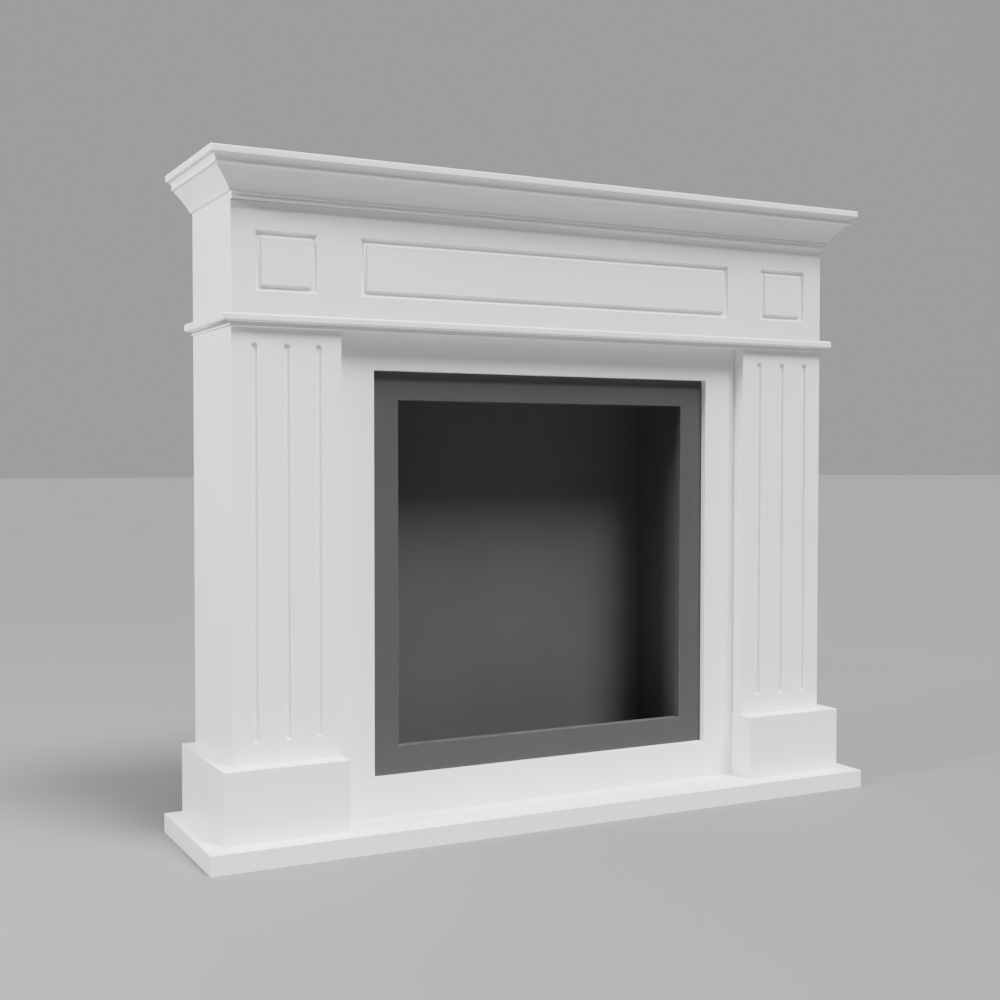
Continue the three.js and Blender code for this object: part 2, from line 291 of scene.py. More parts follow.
@dataclass(frozen=True)
class HeatproofCoating:
    """Fine-textured charcoal coating on steel, paler where the folds are rubbed and where dust lies."""

    name: str = "charcoal coating"
    colour: Colour = (0.066, 0.066, 0.067)
    cloud: Colour = (0.060, 0.060, 0.0605)
    rubbed: Colour = (0.10, 0.10, 0.10)
    dust: Colour = (0.11, 0.109, 0.107)
    roughness: tuple[float, float] = (0.5, 0.64)
    specular: float = 0.3
    film: tuple[float, float] = (0.1, 0.7)  # thinnest and thickest dust
    grain_scale: float = 900.0
    grain_height: float = 0.1 * MM

    def material(self) -> bpy.types.Material:
        """Wires the coating and returns it."""
        mixture = Mixture(self.name)
        clouds = mixture.spread(mixture.noise(scale=5.0, detail=4.0), low=0.35, high=0.65)
        colour = mixture.mix(clouds, self.colour, self.cloud)
        wear = mixture.spread(mixture.noise(scale=55.0, detail=4.0), low=0.42, high=0.66)
        rubbed = mixture.math("MULTIPLY", mixture.attribute(ARRIS), wear)
        colour = mixture.mix(rubbed, colour, self.rubbed)
        film = mixture.spread(mixture.noise(scale=30.0, detail=5.0), low=0.4, high=0.7, out=self.film)
        colour = mixture.mix(mixture.math("MULTIPLY", mixture.flat_tops(), film), colour, self.dust)
        mixture.link(colour, mixture.shader.inputs["Base Color"])
        gloss = mixture.spread(mixture.noise(scale=22.0, detail=3.0), low=0.3, high=0.7, out=self.roughness)
        mixture.link(gloss, mixture.shader.inputs["Roughness"])
        mixture.relief(mixture.noise(self.grain_scale), strength=0.5, distance=self.grain_height)
        mixture.shader.inputs["Specular IOR Level"].default_value = self.specular
        return mixture.material


@dataclass(frozen=True)
class StudioFloor:
    """Plain pale floor."""

    name: str = "studio floor"
    colour: Colour = (0.235, 0.235, 0.235)
    shade: float = 0.97  # how bright its darkest clouds are beside the rest
    roughness: float = 0.8
    specular: float = 0.1

    def material(self) -> bpy.types.Material:
        """Wires the floor and returns it."""
        mixture = Mixture(self.name)
        clouds = mixture.spread(mixture.noise(scale=1.5), low=0.3, high=0.7)
        darker = tuple(self.shade * c for c in self.colour)
        mixture.link(mixture.mix(clouds, self.colour, darker), mixture.shader.inputs["Base Color"])
        mixture.shader.inputs["Roughness"].default_value = self.roughness
        mixture.shader.inputs["Specular IOR Level"].default_value = self.specular
        return mixture.material


@dataclass(frozen=True)
class Finishes:
    """The materials that the pieces share."""

    paint: bpy.types.Material
    bare: bpy.types.Material
    coating: bpy.types.Material


# Shaping


@dataclass
class Blank:
    """A piece on the bench: its mesh while it is shaped, and what it stands for in the frame."""

    name: str
    node: str
    slot: Slot
    carrier: str | None = None
    bm: BMesh = field(default_factory=bmesh.new)

    def box(self) -> tuple[Vector, Vector]:
        """Gives the lowest and highest corner of the piece's node, closed down onto its carrier's top."""
        low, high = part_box(self.node)
        if self.carrier is not None:
            low.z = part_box(self.carrier)[1].z
        return low, high

    def block(self, low: Vector, high: Vector) -> None:
        """Adds a block.

        Args:
            low: Its lowest corner.
            high: Its highest corner.
        """
        centre, size = (low + high) / 2, high - low
        matrix = Matrix.Translation(centre) @ Matrix.Diagonal((*size, 1.0))
        bmesh.ops.create_cube(self.bm, size=1.0, matrix=matrix)

    def drop_faces(self, directions: Iterable[Vector]) -> None:
        """Takes off the faces that look in any of the directions."""
        ways = list(directions)
        gone = [f for f in self.bm.faces if any(f.normal.dot(way) > SQUARE_ON for way in ways)]
        bmesh.ops.delete(self.bm, geom=gone, context="FACES_ONLY")
        loose = [e for e in self.bm.edges if not e.link_faces]
        bmesh.ops.delete(self.bm, geom=loose, context="EDGES")

    def thicken(self, wall: float) -> None:
        """Gives a shell its thickness, inwards from the faces that are there."""
        bmesh.ops.recalc_face_normals(self.bm, faces=self.bm.faces[:])
        bmesh.ops.solidify(self.bm, geom=self.bm.faces[:], thickness=wall)
        self.settle()

    def settle(self) -> None:
        """Merges doubles and turns every face outwards."""
        bmesh.ops.remove_doubles(self.bm, verts=self.bm.verts[:], dist=MERGED)
        bmesh.ops.recalc_face_normals(self.bm, faces=self.bm.faces[:])

    def front(self) -> BMFace:
        """Gives the largest face that looks to the front, the one nearest the front if there are several."""
        facing = [f for f in self.bm.faces if f.normal.dot(FRONT) > SQUARE_ON]
        nearest = min(f.calc_center_median().y for f in facing)
        return max((f for f in facing if f.calc_center_median().y < nearest + TOUCHING), key=BMFace.calc_area)

    def bare(self, hidden: Callable[[BMFace], bool]) -> None:
        """Leaves the hidden faces without paint."""
        for face in self.bm.faces:
            face.material_index = 1 if hidden(face) else 0

    def ease(self, width: float, segments: int = 3, joints: tuple[float, ...] = ()) -> None:
        """Rounds the arrises between painted faces and marks them for the finish.

        Args:
            width: How far each arris is eased.
            segments: Faces across the rounding.
            joints: Heights where the piece butts against its neighbours, along which nothing is eased.
        """
        layer = self.bm.faces.layers.float.get(ARRIS) or self.bm.faces.layers.float.new(ARRIS)
        arrises = [
            e
            for e in self.bm.edges
            if len(e.link_faces) == 2
            and e.is_convex
            and e.calc_face_angle() > LEAST_ARRIS
            and all(f.material_index == 0 for f in e.link_faces)
            and not any(all(abs(v.co.z - z) < TOUCHING for v in e.verts) for z in joints)
        ]
        made = bmesh.ops.bevel(
            self.bm, geom=arrises, offset=width, offset_type="OFFSET", segments=segments, profile=0.5,
            affect="EDGES", material=-1, clamp_overlap=True,
        )
        for face in made["faces"]:
            face[layer] = 1.0

    def finish(
        self, outside: bpy.types.Material, inside: bpy.types.Material | None = None
    ) -> bpy.types.Object:
        """Turns the blank into its object, which takes the node's place and rides with the frame.

        Args:
            outside: The finish of the faces that show.
            inside: The finish of the bare faces, if there are any.

        Returns:
            The finished object.
        """
        mesh = bpy.data.meshes.new(self.name)
        self.bm.to_mesh(mesh)
        self.bm.free()
        for material in filter(None, (outside, inside)):
            mesh.materials.append(material)
        mesh.shade_smooth()
        mesh.set_sharp_from_angle(angle=SHARP_ANGLE)
        piece = bpy.data.objects.new(self.name, mesh)
        bpy.context.scene.collection.objects.link(piece)
        weigh = piece.modifiers.new("even shading", "WEIGHTED_NORMAL")
        weigh.keep_sharp = True
        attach(piece, BODY)
        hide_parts(self.node)
        log.info("%s: %d faces", self.name, len(mesh.polygons))
        return piece


@dataclass(frozen=True)
class RoundGroove:
    """Section of a groove cut with a round-nosed bit, its rims softened by the paint."""

    width: float
    depth: float
    soft: float = 0.4 * MM
    rim_bend: tuple[float, float] = (0.3, 0.25)  # where the rim bends, out and down, as shares of soft
    first_step: float = 0.4  # share of a step that the first point lies below the rim
    steps: int = 7

    def flank(self) -> list[tuple[float, float]]:
        """Gives the section from the rim to the middle, as pairs of distance from the middle and depth."""
        half = self.width / 2
        nose = min(self.depth, half)
        radius = (half**2 + nose**2) / (2 * nose)
        widest = math.asin(half / radius)
        out, down = self.rim_bend
        points = [(half + self.soft, 0.0), (half + out * self.soft, down * self.soft)]
        for i in range(self.steps):
            angle = widest * (1 - (i + self.first_step) / self.steps)
            points.append((radius * math.sin(angle), self.depth - radius * (1 - math.cos(angle))))
        return points

    def rout(self, bm: BMesh, face: BMFace, across: bool) -> None:
        """Cuts the groove inside the outline of a flat face, by insets that follow its section.

        Args:
            bm: The mesh that the face is in.
            face: The face, which is the groove's outline at the rim.
            across: True to come up again on the far side and leave the middle standing, False to close
                at the bottom.
        """
        walk = self.flank()
        if across:
            walk += [(-out, deep) for out, deep in reversed(walk)]
        for (out, deep), (next_out, next_deep) in zip(walk, walk[1:]):
            bmesh.ops.inset_individual(
                bm, faces=[face], thickness=out - next_out, depth=deep - next_deep, use_even_offset=True
            )


def open_face(bm: BMesh, face: BMFace, islands: list[BMFace]) -> None:
    """Replaces a flat face by one with holes that the islands fill exactly.

    Args:
        bm: The mesh.
        face: The face to replace.
        islands: Faces that lie in its plane, inside its outline.
    """
    normal = face.normal.copy()
    edges = [*face.edges, *(e for island in islands for e in island.edges)]
    bmesh.ops.delete(bm, geom=[face], context="FACES_ONLY")
    bmesh.ops.triangle_fill(bm, use_beauty=True, use_dissolve=False, edges=edges, normal=normal)


def facing_front(centre: Vector) -> Matrix:
    """Gives the placing of a flat shape drawn face up, stood upright at the centre to look to the front."""
    return Matrix.Translation(centre) @ Matrix.Rotation(math.pi / 2, 4, "X")


def slot_face(bm: BMesh, centre: Vector, half_width: float, length: float, segments: int = 24) -> BMFace:
    """Adds an upright slot with round ends.

    Args:
        bm: The mesh to add it to.
        centre: The slot's middle.
        half_width: Half its width.
        length: Its length over the round ends.
        segments: Sides of the circle that its ends are the halves of.

    Returns:
        The slot's face.
    """
    half_step = math.pi / segments
    matrix = facing_front(centre) @ Matrix.Rotation(half_step, 4, "Z")
    made = bmesh.ops.create_circle(
        bm, cap_ends=True, segments=segments, radius=half_width / math.cos(half_step), matrix=matrix
    )
    for vert in made["verts"]:
        vert.co.z += math.copysign(length / 2 - half_width, vert.co.z - centre.z)
    return made["verts"][0].link_faces[0]


def rectangle_face(bm: BMesh, centre: Vector, width: float, height: float) -> BMFace:
    """Adds an upright rectangle that looks to the front.

    Args:
        bm: The mesh to add it to.
        centre: Its middle.
        width: Its width.
        height: Its height.

    Returns:
        The rectangle's face.
    """
    matrix = facing_front(centre) @ Matrix.Diagonal((width, height, 1.0, 1.0))
    made = bmesh.ops.create_grid(bm, x_segments=1, y_segments=1, size=0.5, matrix=matrix)
    return made["verts"][0].link_faces[0]


def inside_or_behind(centre: Vector) -> Callable[[BMFace], bool]:
    """Tells the faces of an open-backed box that don't show from the front.

    Args:
        centre: The box's middle.

    Returns:
        A test that is true for a face that looks back or in towards the middle.
    """

    def hidden(face: BMFace) -> bool:
        """Tests one face."""
        outward = face.calc_center_median() - centre
        return face.normal.y > LEANING or face.normal.dot(outward) < 0

    return hidden


# Sub-assemblies


@dataclass
class Hearth:
    """The slab, and the plinth blocks that stand on it."""

    finishes: Finishes
    board: float = 18 * MM
    easing: float = 0.8 * MM

    def slab(self) -> bpy.types.Object:
        """Builds the hearth slab."""
        blank = Blank("hearth_board", "hearth_slab", Slot.BOARD)
        blank.block(*blank.box())
        blank.bare(lambda face: face.normal.y > LEANING or face.normal.z < -LEANING)
        blank.ease(self.easing)
        return blank.finish(self.finishes.paint, self.finishes.bare)

    def plinth(self, hand: Hand) -> bpy.types.Object:
        """Builds one plinth block, hollow and open at the back and below."""
        side = hand.value
        blank = Blank(f"{side}_plinth_box", f"plinth_block_{side}", Slot.BOARD, "hearth_slab")
        low, high = blank.box()
        blank.block(low, high)
        blank.drop_faces([BACK, DOWN])
        blank.thicken(self.board)
        blank.bare(inside_or_behind((low + high) / 2))
        blank.ease(self.easing, joints=(low.z,))
        return blank.finish(self.finishes.paint, self.finishes.bare)

    def build(self) -> None:
        """Builds the slab and both blocks."""
        self.slab()
        for hand in Hand:
            self.plinth(hand)


@dataclass
class Pilasters:
    """The pair of boxed pilasters with their stopped flutes."""

    finishes: Finishes
    board: float = 18 * MM
    easing: float = 0.8 * MM
    flutes: int = 3
    spacing: float = 50 * MM
    groove: RoundGroove = RoundGroove(width=9 * MM, depth=4.5 * MM)
    flute_foot: float = 172.6 * MM
    flute_top: float = 766.1 * MM

    def build_one(self, hand: Hand) -> bpy.types.Object:
        """Builds the pilaster on one side."""
        side = hand.value
        blank = Blank(f"{side}_fluted_pilaster", f"pilaster_{side}", Slot.BOARD, f"plinth_block_{side}")
        low, high = blank.box()
        blank.block(low, high)
        blank.drop_faces([BACK, DOWN, UP])
        blank.thicken(self.board)
        blank.bare(inside_or_behind((low + high) / 2))
        blank.ease(self.easing, joints=(low.z, high.z))
        front = blank.front()
        foot, top = self.flute_foot, self.flute_top
        rim = self.groove.width / 2 + self.groove.soft
        slots = []
        for i in range(self.flutes):
            x = (low.x + high.x) / 2 + (i - (self.flutes - 1) / 2) * self.spacing
            centre = Vector((x, low.y, (foot + top) / 2))
            slots.append(slot_face(blank.bm, centre, rim, top - foot + 2 * self.groove.soft))
        open_face(blank.bm, front, slots)
        for face in slots:
            self.groove.rout(blank.bm, face, across=False)
        return blank.finish(self.finishes.paint, self.finishes.bare)

    def build(self) -> None:
        """Builds both pilasters."""
        for hand in Hand:
            self.build_one(hand)


@dataclass
class Panel:
    """The flat panel between the pilasters, cut out for the firebox."""

    finishes: Finishes
    easing: float = 0.5 * MM
    insert_gap: float = 0.4 * MM
    foot_margin: float = 0.3 * MM
    rise: float = 0.6 * MM
    flat_angle: float = 0.01

    def narrow_foot(self, bm: BMesh, whole: BMFace) -> None:
        """Cuts the foot narrower than the board above it, to stand between the plinth blocks.

        Args:
            bm: The mesh that the face is in.
            whole: The face of the whole board.
        """
        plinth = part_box("plinth_block_right")
        step = plinth[1].z + self.rise
        bmesh.ops.bisect_plane(
            bm, geom=[whole, *whole.edges, *whole.verts], plane_co=Vector((0, 0, step)), plane_no=UP
        )
        inner = plinth[0].x - self.foot_margin
        for sign in (-1, 1):
            below = [f for f in bm.faces if f.calc_center_median().z < step]
            geom = [*below, *{e for f in below for e in f.edges}, *{v for f in below for v in f.verts}]
            bmesh.ops.bisect_plane(
                bm, geom=geom, plane_co=Vector((sign * inner, 0, 0)), plane_no=Vector((1, 0, 0))
            )
        strips = [f for f in bm.faces if abs(f.calc_center_median().x) > inner]
        bmesh.ops.delete(bm, geom=strips, context="FACES")
        bmesh.ops.dissolve_limit(bm, angle_limit=self.flat_angle, verts=bm.verts[:], edges=bm.edges[:])

    def cut_opening(self, bm: BMesh, depth: float) -> None:
        """Cuts the opening for the firebox frame.

        Args:
            bm: The mesh, with only the board's face in it.
            depth: How far back the face lies, along Y.
        """
        frame_low, frame_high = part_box("firebox_frame")
        width = frame_high.x - frame_low.x + 2 * self.insert_gap
        height = frame_high.z - frame_low.z + 2 * self.insert_gap
        middle = (frame_low + frame_high) / 2
        outline = bm.faces[:][0]
        opening = rectangle_face(bm, Vector((middle.x, depth, middle.z)), width, height)
        open_face(bm, outline, [opening])
        bmesh.ops.delete(bm, geom=[opening], context="FACES_ONLY")

    def build(self) -> bpy.types.Object:
        """Builds the panel: its outline and its opening first, then its thickness."""
        blank = Blank("surround_board", "surround_panel", Slot.BOARD, "hearth_slab")
        low, high = blank.box()
        bm = blank.bm
        centre = Vector(((low.x + high.x) / 2, low.y, (low.z + high.z) / 2))
        whole = rectangle_face(bm, centre, high.x - low.x, high.z - low.z)
        self.narrow_foot(bm, whole)
        self.cut_opening(bm, low.y)
        made = bmesh.ops.extrude_face_region(bm, geom=bm.faces[:])
        verts = [v for v in made["geom"] if isinstance(v, BMVert)]
        bmesh.ops.translate(bm, verts=verts, vec=Vector((0, high.y - low.y, 0)))
        blank.settle()
        blank.bare(lambda face: face.normal.y > LEANING or self.is_foot(face, low.z))
        blank.ease(self.easing, segments=2)
        return blank.finish(self.finishes.paint, self.finishes.bare)

    @staticmethod
    def is_foot(face: BMFace, foot: float) -> bool:
        """Tells whether a face is the panel's underside, at the height of its foot."""
        return abs(face.normal.z) > LEANING and face.calc_center_median().z < foot + MM


@dataclass
class Firebox:
    """The sheet steel frame in the opening, the box behind it and the floor inside."""

    finishes: Finishes
    border: float = 45.1 * MM
    frame_sheet: float = 2.5 * MM
    shell_sheet: float = 2 * MM
    fold: float = 1.2 * MM
    shell_fold: float = 0.6 * MM
    floor_easing: float = 0.8 * MM

    def rim(self) -> bpy.types.Object:
        """Builds the folded frame: a face with lips that turn back around its outside and its inside."""
        blank = Blank("folded_frame", "firebox_frame", Slot.STEEL)
        low, high = blank.box()
        bm = blank.bm
        face = rectangle_face(bm, Vector((0, low.y, (low.z + high.z) / 2)), high.x - low.x, high.z - low.z)
        bmesh.ops.inset_individual(bm, faces=[face], thickness=self.border, depth=0, use_even_offset=True)
        bmesh.ops.delete(bm, geom=[face], context="FACES_ONLY")
        ends = [e for e in bm.edges if len(e.link_faces) == 1]
        made = bmesh.ops.extrude_edge_only(bm, edges=ends)
        verts = [v for v in made["geom"] if isinstance(v, BMVert)]
        bmesh.ops.translate(bm, verts=verts, vec=Vector((0, high.y - low.y, 0)))
        blank.thicken(self.frame_sheet)
        blank.bare(lambda face: False)
        blank.ease(self.fold)
        return blank.finish(self.finishes.coating)

    def shell(self) -> bpy.types.Object:
        """Builds the box, open to the front."""
        blank = Blank("sheet_firebox", "firebox_shell", Slot.STEEL)
        blank.block(*blank.box())
        blank.drop_faces([FRONT])
        blank.thicken(self.shell_sheet)
        blank.bare(lambda face: False)
        blank.ease(self.shell_fold, segments=2)
        return blank.finish(self.finishes.coating)

    def floor(self) -> bpy.types.Object:
        """Builds the floor board."""
        blank = Blank("burner_floor", "firebox_floor", Slot.STEEL)
        blank.block(*blank.box())
        blank.bare(lambda face: False)
        blank.ease(self.floor_easing)
        return blank.finish(self.finishes.coating)

    def build(self) -> None:
        """Builds the frame, the box and the floor."""
        self.rim()
        self.shell()
        self.floor()


@dataclass(frozen=True)
class ProfilePoint:
    """A point of a moulding's section: how far it stands out at the sides and in front, and its height."""

    side: float
    front: float
    height: float


Spot = tuple[float, float]  # how far out a point stands, and its height


def even(points: Iterable[Spot]) -> list[ProfilePoint]:
    """Makes section points that stand out equally at the sides and in front."""
    return [ProfilePoint(out, out, height) for out, height in points]


@dataclass(frozen=True)
class BoxRun:
    """The way that a moulding takes around a box: left, front and right, cut flat at the back."""

    side: float
    face: float
    back: float
    backing_side: float
    backing_face: float
    digits: int = 6  # to which corners are told apart, in metres

    def sweep(self, bm: BMesh, section: list[ProfilePoint]) -> None:
        """Extrudes a section along the way, mitred at both corners.

        Args:
            bm: The mesh to add the moulding to.
            section: The section's points, up the face of the moulding.
        """
        corners = [Vector((-(self.side + p.side), self.back, p.height)) for p in section]
        corners += [Vector((-self.backing_side, self.back, p.height)) for p in (section[-1], section[0])]
        depths = [self.face - p.front for p in section] + [self.backing_face] * 2
        end = bm.faces.new([bm.verts.new(corner) for corner in corners])
        front_of = {self.key(corner): depth for corner, depth in zip(corners, depths)}
        for turn in range(3):
            made = bmesh.ops.extrude_face_region(bm, geom=[end])["geom"]
            for vert in (v for v in made if isinstance(v, BMVert)):
                if turn == 0:
                    vert.co.y = front_of[self.key(vert.co)]
                elif turn == 1:
                    vert.co.x = -vert.co.x
                else:
                    vert.co.y = self.back
            end = next(f for f in made if isinstance(f, BMFace))

    def key(self, corner: Vector) -> tuple[float, float]:
        """Names a corner of the section by its place across and its height."""
        return round(corner.x, self.digits), round(corner.z, self.digits)


def curve(start: Spot, control: Spot, end: Spot, steps: int) -> list[Spot]:
    """Gives points along a curve that leaves its start towards the control point and reaches its end from it.

    Args:
        start: Where it starts.
        control: The point that it bends towards.
        end: Where it ends.
        steps: How many straight lines it is made of.

    Returns:
        The points, both ends included.
    """
    points = []
    for i in range(steps + 1):
        t = i / steps
        weights = ((1 - t) ** 2, 2 * t * (1 - t), t**2)
        points.append(tuple(sum(w * p[k] for w, p in zip(weights, (start, control, end))) for k in (0, 1)))
    return points


def quarter(centre: Spot, radius: float, start: float, steps: int = 8) -> list[Spot]:
    """Gives points along a quarter circle that turns anticlockwise.

    Args:
        centre: The circle's centre.
        radius: Its radius.
        start: The angle that it starts at.
        steps: How many straight lines it is made of.

    Returns:
        The points, both ends included.
    """
    angles = [start + math.pi / 2 * i / steps for i in range(steps + 1)]
    return [(centre[0] + radius * math.cos(a), centre[1] + radius * math.sin(a)) for a in angles]


@dataclass(frozen=True)
class CorniceSection:
    """Sizes of the cornice in millimetres: heights from its foot, and pairs for the sides and the front."""

    height: float = 56.0
    bead: tuple[float, float] = (0.2, 1.6)
    bead_top: float = 4.0
    quirk: tuple[float, float] = (-0.1, -0.6)
    quirk_foot: float = 4.1
    quirk_top: float = 7.2
    fillet: tuple[float, float] = (0.2, 4.3)
    fillet_foot: float = 7.3
    fillet_top: float = 10.0
    cove_foot: Spot = (4.3, 10.8)
    cove_bend: Spot = (8.5, 20.8)
    cove_out: tuple[float, float] = (31.2, 28.7)
    cove_steps: int = 20
    lip: float = 33.7
    lip_foot: float = 43.2
    lip_top: float = 46.2
    hollow: float = 32.5
    hollow_bend: float = 51.1
    hollow_out: float = 38.5
    hollow_steps: int = 10

    def points(self, low: float, high: float) -> list[ProfilePoint]:
        """Gives the section's points up its face: bead, quirk, fillet, cove, lip and hollow.

        Args:
            low: The cornice's underside, in metres.
            high: Its top, in metres.

        Returns:
            The points, in metres.
        """
        foot = high - self.height * MM
        members = (
            (*self.bead, self.bead_top),
            (*self.quirk, self.quirk_foot),
            (*self.quirk, self.quirk_top),
            (*self.fillet, self.fillet_foot),
            (*self.fillet, self.fillet_top),
        )
        coves = [
            curve(self.cove_foot, self.cove_bend, (out, self.lip_foot), self.cove_steps)
            for out in self.cove_out
        ]
        lip = [(self.lip, self.lip_foot), (self.lip, self.lip_top)]
        hollow = curve(
            (self.hollow, self.lip_top), (self.hollow, self.hollow_bend), (self.hollow_out, self.height),
            self.hollow_steps,
        )
        section = [ProfilePoint(self.bead[0] * MM, self.bead[1] * MM, low)]
        section += [ProfilePoint(side * MM, front * MM, foot + z * MM) for side, front, z in members]
        section += [
            ProfilePoint(side * MM, front * MM, foot + z * MM) for (side, z), (front, _) in zip(*coves)
        ]
        section += even((out * MM, foot + z * MM) for out, z in (*lip, *hollow))
        return section


@dataclass
class Entablature:
    """What stands over the pilasters: the frieze, the band around its foot, the cornice and the shelf."""

    finishes: Finishes
    board: float = 18 * MM
    frieze_front: float = 24.5 * MM
    easing: float = 0.8 * MM
    groove: RoundGroove = RoundGroove(width=10 * MM, depth=5 * MM)
    grooved_foot: float = 842.4 * MM
    grooved_height: float = 89 * MM
    small_width: float = 96 * MM
    long_width: float = 687 * MM
    small_centre: float = 463 * MM
    band_fillet: float = 2.6 * MM
    band_nose_height: float = 13 * MM
    band_lower_round: float = 3.2 * MM
    band_upper_round: float = 4.2 * MM
    band_easing: float = 0.5 * MM
    cornice_section: CorniceSection = CorniceSection()
    cornice_forward: float = 8 * MM
    cornice_easing: float = 0.25 * MM
    shelf_easing: float = 1.5 * MM

    def frieze(self) -> bpy.types.Object:
        """Builds the frieze with its three grooved rectangles."""
        blank = Blank("grooved_frieze", "frieze", Slot.BOARD, "pilaster_left")
        low, high = blank.box()
        blank.block(low, high)
        blank.drop_faces([BACK, DOWN, UP])
        blank.thicken(self.board)
        inner = [v for v in blank.bm.verts if abs(v.co.y - low.y - self.board) < TOUCHING]
        bmesh.ops.translate(blank.bm, verts=inner, vec=Vector((0, self.frieze_front - self.board, 0)))
        blank.bare(inside_or_behind((low + high) / 2))
        blank.ease(self.easing, joints=(low.z, high.z))
        front = blank.front()
        z = self.grooved_foot + self.grooved_height / 2
        rim = 2 * self.groove.soft
        places = [
            (-self.small_centre, self.small_width),
            (0.0, self.long_width),
            (self.small_centre, self.small_width),
        ]
        rims = [
            rectangle_face(blank.bm, Vector((x, low.y, z)), width + rim, self.grooved_height + rim)
            for x, width in places
        ]
        open_face(blank.bm, front, rims)
        for face in rims:
            self.groove.rout(blank.bm, face, across=True)
        return blank.finish(self.finishes.paint, self.finishes.bare)

    def band(self) -> bpy.types.Object:
        """Builds the band: a small fillet under a round nose."""
        blank = Blank("nosed_band", "band_moulding", Slot.BOARD, "pilaster_left")
        low, high = blank.box()
        frieze_low, frieze_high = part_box("frieze")
        nose = high.x - frieze_high.x
        fillet_top = high.z - self.band_nose_height
        lower, upper = self.band_lower_round, self.band_upper_round
        section = [(self.band_fillet, low.z), (self.band_fillet, fillet_top)]
        section += quarter((nose - lower, fillet_top + lower), lower, -math.pi / 2)
        section += quarter((nose - upper, high.z - upper), upper, 0.0)
        way = BoxRun(
            side=frieze_high.x, face=frieze_low.y, back=high.y,
            backing_side=frieze_high.x, backing_face=frieze_low.y,
        )
        way.sweep(blank.bm, even(section))
        blank.settle()
        blank.bare(lambda face: face.normal.y > LEANING or self.looks_in(face, frieze_high.x))
        blank.ease(self.band_easing, segments=2)
        return blank.finish(self.finishes.paint, self.finishes.bare)

    @staticmethod
    def looks_in(face: BMFace, side: float) -> bool:
        """Tells whether a face of a moulding looks in towards the middle of the box that it wraps."""
        centre = face.calc_center_median()
        return abs(face.normal.x) > LEANING and centre.x * face.normal.x < 0 and abs(centre.x) < side + MM

    def cornice(self) -> bpy.types.Object:
        """Builds the cornice: bead, quirk, fillet, cove, lip and a small hollow under the shelf."""
        blank = Blank("moulded_cornice", "cornice", Slot.BOARD, "frieze")
        low, high = blank.box()
        frieze_low, frieze_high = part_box("frieze")
        way = BoxRun(
            side=frieze_high.x, face=frieze_low.y - self.cornice_forward, back=high.y,
            backing_side=frieze_high.x - self.board, backing_face=frieze_low.y + self.frieze_front,
        )
        way.sweep(blank.bm, self.cornice_section.points(low.z, high.z))
        blank.settle()
        blank.bare(lambda face: face.normal.y > LEANING or self.looks_in(face, frieze_high.x - self.board))
        blank.ease(self.cornice_easing, segments=2)
        return blank.finish(self.finishes.paint, self.finishes.bare)

    def shelf(self) -> bpy.types.Object:
        """Builds the mantel shelf."""
        blank = Blank("mantel_shelf", "shelf", Slot.BOARD, "cornice")
        blank.block(*blank.box())
        blank.bare(lambda face: face.normal.y > LEANING)
        blank.ease(self.shelf_easing, segments=4)
        return blank.finish(self.finishes.paint, self.finishes.bare)

    def build(self) -> None:
        """Builds the frieze, the band, the cornice and the shelf."""
        self.frieze()
        self.band()
        self.cornice()
        self.shelf()


# Studio


@dataclass(frozen=True)
class Lamp:
    """A soft light aimed at the middle of the fireplace: a round softbox nearby, or a broad distant light."""

    name: str
    travel: tuple[float, float, float]
    strength: float
    spread: float  # in degrees
    distance: float | None = None  # None for a distant light
    aim_height: float = 0.55
    distant_stand: float = 4.0  # where the distant light's object stands, which doesn't alter its light

    def data(self) -> bpy.types.Light:
        """Makes the light itself, as strong on the fireplace from nearby as from afar."""
        if self.distance is None:
            light = bpy.data.lights.new(self.name, "SUN")
            light.energy = self.strength
            light.angle = math.radians(self.spread)
            return light
        light = bpy.data.lights.new(self.name, "AREA")
        light.shape = "DISK"
        light.size = 2 * self.distance * math.tan(math.radians(self.spread / 2))
        light.energy = math.pi * self.distance**2 * self.strength
        return light

    def build(self) -> None:
        """Hangs the light so that it shines along its travel."""
        lamp = bpy.data.objects.new(self.name, self.data())
        lamp.rotation_mode = "QUATERNION"
        lamp.rotation_quaternion = Vector(self.travel).to_track_quat("-Z", "Y")
        aim, stand = Vector((0, 0, self.aim_height)), self.distance or self.distant_stand
        lamp.location = aim - stand * Vector(self.travel).normalized()
        lamp.visible_camera = False
        bpy.context.scene.collection.objects.link(lamp)


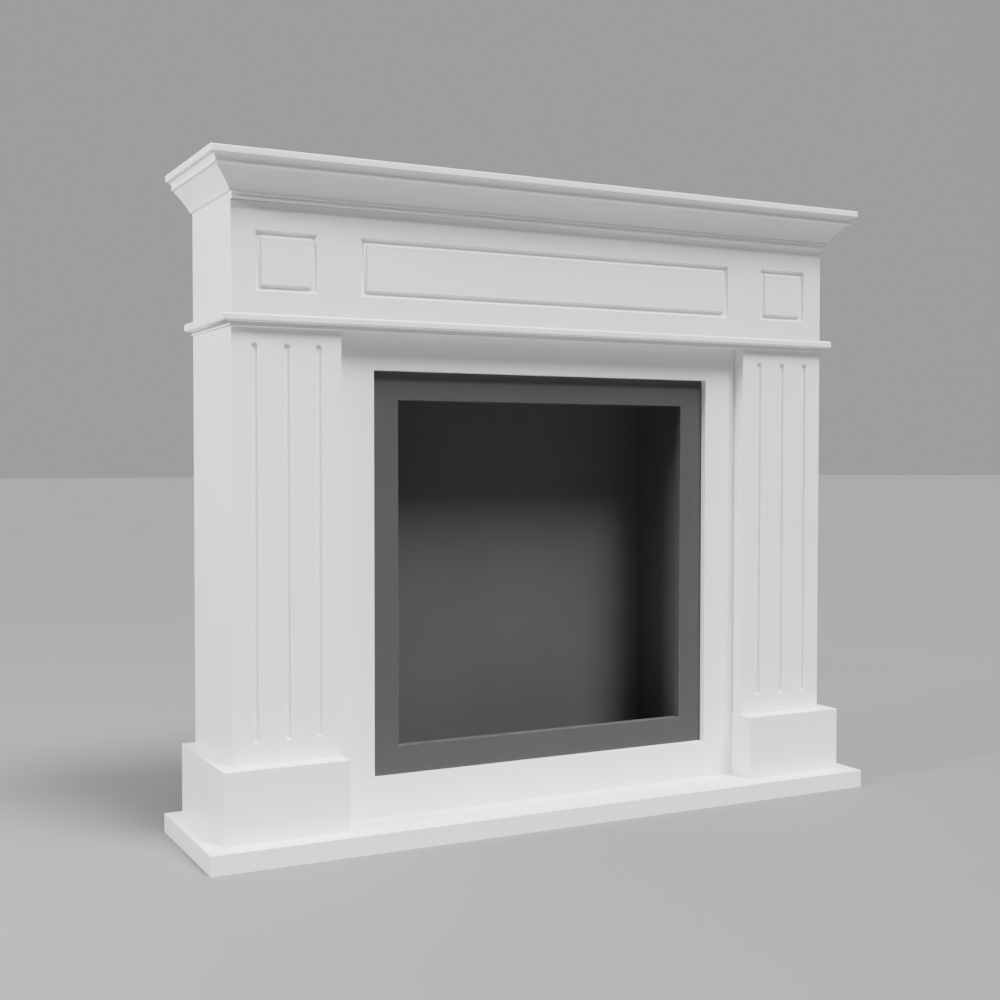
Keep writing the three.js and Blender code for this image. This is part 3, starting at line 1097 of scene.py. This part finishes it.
@dataclass(frozen=True)
class Studio:
    """Floor, lights and camera."""

    floor_size: float = 80.0
    floor_finish: StudioFloor = StudioFloor()
    key: Lamp = Lamp("key light", (-0.22, 0.51, -0.83), 4.25, 22.0)
    side: Lamp = Lamp("side light", (0.93, 0.10, -0.36), 2.6, 6.0, distance=3.0)
    overhead: Lamp = Lamp("overhead light", (0.0, 0.29, -0.96), 2.2, 40.0)
    ambient: tuple[float, float] = (0.03, 0.33)  # strength in front of the object and behind it
    ambient_rise: tuple[float, float] = (-0.2, 0.7)  # where it starts and stops growing, as a direction's Y
    view_transform: str = "Filmic"
    camera_place: tuple[float, float, float] = (-1.13179, -2.06239, 0.59574)
    pitch: float = -1.7242
    yaw: float = 27.2778
    roll: float = 0.04
    lens: float = 50.0
    sensor: float = 36.0
    clip: tuple[float, float] = (0.05, 50.0)

    def floor(self) -> None:
        """Lays the floor."""
        bm = bmesh.new()
        bmesh.ops.create_grid(bm, x_segments=1, y_segments=1, size=self.floor_size / 2)
        mesh = bpy.data.meshes.new("studio_floor")
        bm.to_mesh(mesh)
        bm.free()
        mesh.materials.append(self.floor_finish.material())
        floor = bpy.data.objects.new("studio_floor", mesh)
        bpy.context.scene.collection.objects.link(floor)

    def world(self) -> None:
        """Fills the room with soft light, dim in front of the object and brighter on the backdrop."""
        world = bpy.data.worlds.new("studio")
        world.use_nodes = True
        tree = world.node_tree
        background = tree.nodes["Background"]
        background.inputs["Color"].default_value = (1.0, 1.0, 1.0, 1.0)
        split = tree.nodes.new("ShaderNodeSeparateXYZ")
        spread = tree.nodes.new("ShaderNodeMapRange")
        spread.interpolation_type = "SMOOTHSTEP"
        ends = (*self.ambient_rise, *self.ambient)
        for name, value in zip(("From Min", "From Max", "To Min", "To Max"), ends):
            spread.inputs[name].default_value = value
        tree.links.new(tree.nodes.new("ShaderNodeTexCoord").outputs["Generated"], split.inputs["Vector"])
        tree.links.new(split.outputs["Y"], spread.inputs["Value"])
        tree.links.new(spread.outputs["Result"], background.inputs["Strength"])
        bpy.context.scene.world = world

    def camera(self) -> None:
        """Sets up the camera at the photograph's viewing angle."""
        data = bpy.data.cameras.new("camera")
        data.lens = self.lens
        data.sensor_width = self.sensor
        data.sensor_fit = "HORIZONTAL"
        data.clip_start, data.clip_end = self.clip
        camera = bpy.data.objects.new("camera", data)
        pitch, yaw, roll = (math.radians(a) for a in (self.pitch, self.yaw, self.roll))
        upright = Matrix.Rotation(math.pi / 2 + pitch, 4, "X")
        turn = Matrix.Rotation(-yaw, 4, "Z") @ upright @ Matrix.Rotation(roll, 4, "Z")
        camera.matrix_world = Matrix.Translation(self.camera_place) @ turn
        bpy.context.scene.collection.objects.link(camera)
        bpy.context.scene.camera = camera

    def build(self) -> None:
        """Builds the whole studio."""
        self.floor()
        self.key.build()
        self.side.build()
        self.overhead.build()
        self.world()
        self.camera()
        bpy.context.scene.view_settings.view_transform = self.view_transform


def main() -> None:
    """Builds the studio and every piece of the fireplace."""
    logging.basicConfig(level=logging.INFO, format="%(name)s: %(message)s")
    Studio().build()
    finishes = Finishes(SatinPaint().material(), BareFibreboard().material(), HeatproofCoating().material())
    for assembly in (Hearth, Pilasters, Panel, Firebox, Entablature):
        assembly(finishes).build()


if __name__ == "__main__":
    main()
